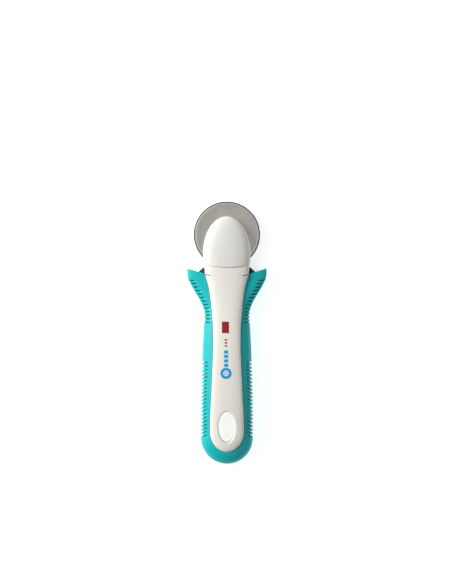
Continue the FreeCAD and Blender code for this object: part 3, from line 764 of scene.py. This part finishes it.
def build_panel():
    bm = bmesh.new()
    shaped_grid(bm, PANEL_COLUMNS, len(ROW_SHARES) - 1, upper_panel)
    shaped_grid(bm, len(OUTLINE), RADIAL_ROWS + RIM_ROWS + 1, lower_panel)
    bmesh.ops.remove_doubles(bm, verts=bm.verts, dist=MERGE)
    outer = [e for e in bm.edges if e.is_boundary and e.verts[0].co.z / MM > SPLIT + ABOVE_SPLIT]
    skirt = bmesh.ops.extrude_edge_only(bm, edges=outer)["geom"]
    for vert in (item for item in skirt if isinstance(item, bmesh.types.BMVert)):
        vert.co.z = SKIRT_Z * MM
    open_edges = [e for e in bm.edges if e.is_boundary]
    under = bmesh.ops.triangle_fill(bm, use_beauty=True, edges=open_edges)["geom"]
    under_faces = [item for item in under if isinstance(item, bmesh.types.BMFace)]
    bmesh.ops.inset_region(bm, faces=under_faces, thickness=HOLE_SKIRT * MM, depth=0.0,
                           use_boundary=True, use_even_offset=False)
    for vert in {vert for face in under_faces for vert in face.verts}:
        vert.co.z = UNDERSIDE_Z * MM
    finish_piece(bm, "panel_front_half", SHELL_FINISH, "handle", ("front_shell",))


build_panel()

# %% [markdown]
# Under the cap the panel's moulding carries on as a flat tongue that holds the axle. It could be a
# cylinder cut to shape, but a ring-shaped block is one grid that closes on itself both ways: round
# the axle, and round its own section.
# %% tongue
TONGUE_LOW, TONGUE_HIGH = (corner[2] / MM for corner in (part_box("friction_washer")[1],
                                                         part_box("blade_bush")[1]))
TONGUE_HOLE, TONGUE_SIDE, TONGUE_BACK = 4.02, 13.4, 23.2
TONGUE_NOSE = (14.4, 23.4)
TONGUE_TURNS = 72


def tongue_reach(angle):
    """Distance from the axle to the tongue's edge in one direction."""
    across, down = math.cos(angle), math.sin(angle)
    a = (across / TONGUE_NOSE[0]) ** 2 + (down / TONGUE_NOSE[1]) ** 2
    b = -2 * CAP_Y * down / TONGUE_NOSE[1] ** 2
    c = (CAP_Y / TONGUE_NOSE[1]) ** 2 - 1
    reach = (-b + math.sqrt(b * b - 4 * a * c)) / (2 * a)
    reach = min(reach, TONGUE_SIDE / max(abs(across), 0.01))
    return min(reach, TONGUE_BACK / -down) if down < -0.05 else reach


def tongue_point(column, row):
    angle = 2 * math.pi * column / TONGUE_TURNS
    reach = tongue_reach(angle) if row % 4 in (1, 2) else TONGUE_HOLE
    z = TONGUE_HIGH if row % 4 in (0, 1) else TONGUE_LOW
    return place(reach * math.cos(angle), reach * math.sin(angle), z)


bm = bmesh.new()
shaped_grid(bm, TONGUE_TURNS, 4, tongue_point)
finish_piece(bm, "panel_tongue", SHELL_FINISH, "handle", ("front_shell",))

# %% [markdown]
# The cap is a smooth egg over the axle, a separate moulding a little proud of the panel, with a
# fine crease where the two meet. It could be half a scaled sphere, but the tail has to follow the
# panel's width, so its nose is polar and its tail is a grid down to the crease. The same two sheets
# are made again further in for the inside, both edges are dropped to the base, and the ring between
# the two loops is filled.
# %% head cap
CAP_LENGTH, CAP_SIDE, CAP_CROWN = 26.3, 12.6, 18.9
CAP_WALL, CAP_BASE, CAP_SIDE_INSET = 1.7, 10.5, 0.6
CAP_RINGS, CAP_TURNS, CAP_TAIL_ROWS = 16, 48, 10
CREASE_GAP = 0.1
ABOVE_BASE, AT_BASE = CAP_BASE + 0.5, CAP_BASE + 0.01


def cap_sheet(bm, inset):
    """One skin of the cap, moved inward by inset and dropped to the base; its base edges."""
    side = CAP_SIDE - (CAP_SIDE_INSET if inset else 0.0)
    length = CAP_LENGTH - inset

    def skin(x_share, y_share, y):
        half = (along(CAP_HALF, y) - inset) * x_share
        return place(half, y, dome(math.hypot(x_share, y_share), side, CAP_CROWN - inset))

    def nose(column, row):
        ring = abs(cross_share(CAP_RINGS + row, 2 * CAP_RINGS))
        angle = math.pi * column / CAP_TURNS
        y = CAP_Y + length * ring * math.sin(angle)
        return skin(ring * math.cos(angle), ring * math.sin(angle), y)

    def tail(column, row):
        share = cross_share(column, 2 * CAP_RINGS)
        end = crease_y(share) + CREASE_GAP + inset
        return skin(share, 0.0, CAP_Y + (end - CAP_Y) * row / CAP_TAIL_ROWS)

    made = shaped_grid(bm, CAP_TURNS, CAP_RINGS, nose)
    made += shaped_grid(bm, 2 * CAP_RINGS, CAP_TAIL_ROWS, tail)
    bmesh.ops.remove_doubles(bm, verts=[v for v in made if v.is_valid], dist=MERGE)
    rim = [e for e in bm.edges if e.is_boundary and e.verts[0].co.z > ABOVE_BASE * MM]
    dropped = bmesh.ops.extrude_edge_only(bm, edges=rim)["geom"]
    for vert in (item for item in dropped if isinstance(item, bmesh.types.BMVert)):
        vert.co.z = CAP_BASE * MM
    return [item for item in dropped if isinstance(item, bmesh.types.BMEdge)
            and all(v.co.z < AT_BASE * MM for v in item.verts)]


bm = bmesh.new()
outer_base = cap_sheet(bm, 0.0)
inner_base = cap_sheet(bm, CAP_WALL)
bmesh.ops.triangle_fill(bm, use_beauty=True, edges=outer_base + inner_base)
finish_piece(bm, "head_cap_shell", CAP_FINISH, "handle", ("head_cap",))

# %% [markdown]
# The panel is printed. The print here is a plain sewing motif: a small red patch, red stitches, a
# blue running stitch and a blue four-hole button. Ink could be painted by the shader, but each mark
# is a very thin piece that follows the crown, so that its edge stays crisp and it can be left out.
# %% ink
INK_LIFT, INK_DEPTH = 0.05, 0.12
PLAN_MERGE = 0.001


def ink_mark(bm, columns, rows, where):
    """A thin closed mark on the panel, its plan given by where(column share, row share)."""
    verts = shaped_grid(bm, columns, rows,
                        lambda c, r: Vector((*where(c / columns, r / rows), 0.0)))
    bmesh.ops.remove_doubles(bm, verts=verts, dist=PLAN_MERGE)
    verts = [v for v in verts if v.is_valid]
    faces = {face for vert in verts for face in vert.link_faces}
    for vert in verts:
        x, y = vert.co.x, vert.co.y
        vert.co = place(x, y, panel_front(x, y) + INK_LIFT)
    bmesh.ops.recalc_face_normals(bm, faces=list(faces))
    bmesh.ops.solidify(bm, geom=list(faces), thickness=INK_DEPTH * MM)


def bars(bm, columns, rows, x_range, y_range, count=1, pitch=0.0):
    """A row of rectangular marks, each a pitch further down the handle."""
    (x0, x1), (top, bottom) = x_range, y_range
    for k in range(count):
        y0, y1 = top - pitch * k, bottom - pitch * k
        ink_mark(bm, columns, rows, lambda a, r: (x0 + (x1 - x0) * a, y0 + (y1 - y0) * r))


def ring(x, y, inner, outer):
    """Plan of a ring, or of a disc where inner is 0."""
    def where(a, r):
        radius = inner + (outer - inner) * r
        return x + radius * math.cos(2 * math.pi * a), y + radius * math.sin(2 * math.pi * a)
    return where


print("ink stands", INK_LIFT, "mm over the panel")

# %% [markdown]
# The red marks are one piece and the blue marks another, because each ink is its own finish.
# %% print
bm = bmesh.new()
bars(bm, 12, 16, (-3.5, 1.5), (-69.0, -61.0))
bars(bm, 4, 4, (-1.6, 0.2), (-74.2, -73.2), count=3, pitch=2.1)
finish_piece(bm, "print_patch", RED_INK, "handle")

BUTTON_X, BUTTON_Y, BUTTON_RIM = -0.6, -97.0, (2.0, 3.9)
EYE_REACH, EYE_R, EYE_ANGLES = 1.0, 0.42, (0.25, 0.75, 1.25, 1.75)
bm = bmesh.new()
bars(bm, 6, 8, (-1.9, 0.9), (-83.2, -81.0), count=4, pitch=3.1)
ink_mark(bm, 48, 3, ring(BUTTON_X, BUTTON_Y, *BUTTON_RIM))
for half_turns in EYE_ANGLES:
    eye_x = BUTTON_X + EYE_REACH * math.cos(math.pi * half_turns)
    eye_y = BUTTON_Y + EYE_REACH * math.sin(math.pi * half_turns)
    ink_mark(bm, 20, 3, ring(eye_x, eye_y, 0.0, EYE_R))
finish_piece(bm, "print_stitches", BLUE_INK, "handle")

# %% [markdown]
# The stage is a plain pale floor. It glows a little, as a lit paper sweep does, so that the tool
# stands on clean white with only a soft shadow.
# %% floor
FLOOR_SIZE, FLOOR_DROP = 3.0, 0.0004
FLOOR_WHITE, FLOOR_ROUGHNESS, FLOOR_GLOW = 0.96, 0.9, 0.62
bm = bmesh.new()
bmesh.ops.create_grid(bm, x_segments=1, y_segments=1, size=FLOOR_SIZE)
floor_mesh = bpy.data.meshes.new("studio_floor")
bm.to_mesh(floor_mesh)
bm.free()
floor = bpy.data.objects.new("studio_floor", floor_mesh)
floor.location.z = -FLOOR_DROP
bpy.context.scene.collection.objects.link(floor)
floor_finish, _, floor_shader = new_finish("pale_floor")
floor_shader.inputs["Base Color"].default_value = (FLOOR_WHITE, FLOOR_WHITE, FLOOR_WHITE, 1)
floor_shader.inputs["Roughness"].default_value = FLOOR_ROUGHNESS
floor_shader.inputs["Emission Color"].default_value = (1.0, 1.0, 1.0, 1)
floor_shader.inputs["Emission Strength"].default_value = FLOOR_GLOW
floor_mesh.materials.append(floor_finish)
print("floor", 2 * FLOOR_SIZE, "m wide")

# %% [markdown]
# The light is a soft studio light: one large lamp on the left towards the head, a weak one on the
# right, and an even pale sky. Large round lamps keep the shadows soft and the highlights wide.
# %% lamps and sky
SKY_STRENGTH = 0.36


def soft_lamp(name, location, size, power):
    """A round lamp aimed at the middle of the tool."""
    lamp = bpy.data.lights.new(name, "AREA")
    lamp.shape = "DISK"
    lamp.size = size
    lamp.energy = power
    holder = bpy.data.objects.new(name, lamp)
    holder.location = location
    aim = Vector((0.0, 0.0, 0.0)) - Vector(location)
    holder.rotation_euler = aim.to_track_quat("-Z", "Y").to_euler()
    bpy.context.scene.collection.objects.link(holder)


soft_lamp("key_lamp", location=(-1.05, 0.5, 0.7), size=0.6, power=28.5)
soft_lamp("fill_lamp", location=(0.8, -0.2, 1.0), size=0.8, power=1.5)
world = bpy.data.worlds.new("pale_sky")
world.use_nodes = True
world.node_tree.nodes["Background"].inputs["Color"].default_value = (1.0, 1.0, 1.0, 1)
world.node_tree.nodes["Background"].inputs["Strength"].default_value = SKY_STRENGTH
scene = bpy.context.scene
scene.world = world
scene.view_settings.view_transform = "Standard"
print("lamps", len(bpy.data.lights))

# %% [markdown]
# The camera looks straight down at the printed side, from far enough that the tool is hardly
# foreshortened. The lens follows from the height and from the length that has to fit in the view.
# %% camera
VIEW_HEIGHT, VIEW_SPAN, VIEW_CENTRE, VIEW_SIDE = 1.6, 0.41, -0.0403, -0.0006
SENSOR = 24.0
camera_data = bpy.data.cameras.new("camera")
camera_data.sensor_fit = "VERTICAL"
camera_data.sensor_height = SENSOR
camera_data.lens = SENSOR * VIEW_HEIGHT / VIEW_SPAN
camera = bpy.data.objects.new("camera", camera_data)
camera.location = (VIEW_SIDE, AXLE.y + VIEW_CENTRE, AXLE.z + VIEW_HEIGHT)
scene.collection.objects.link(camera)
scene.camera = camera
print("lens", round(camera_data.lens, 1), "mm")
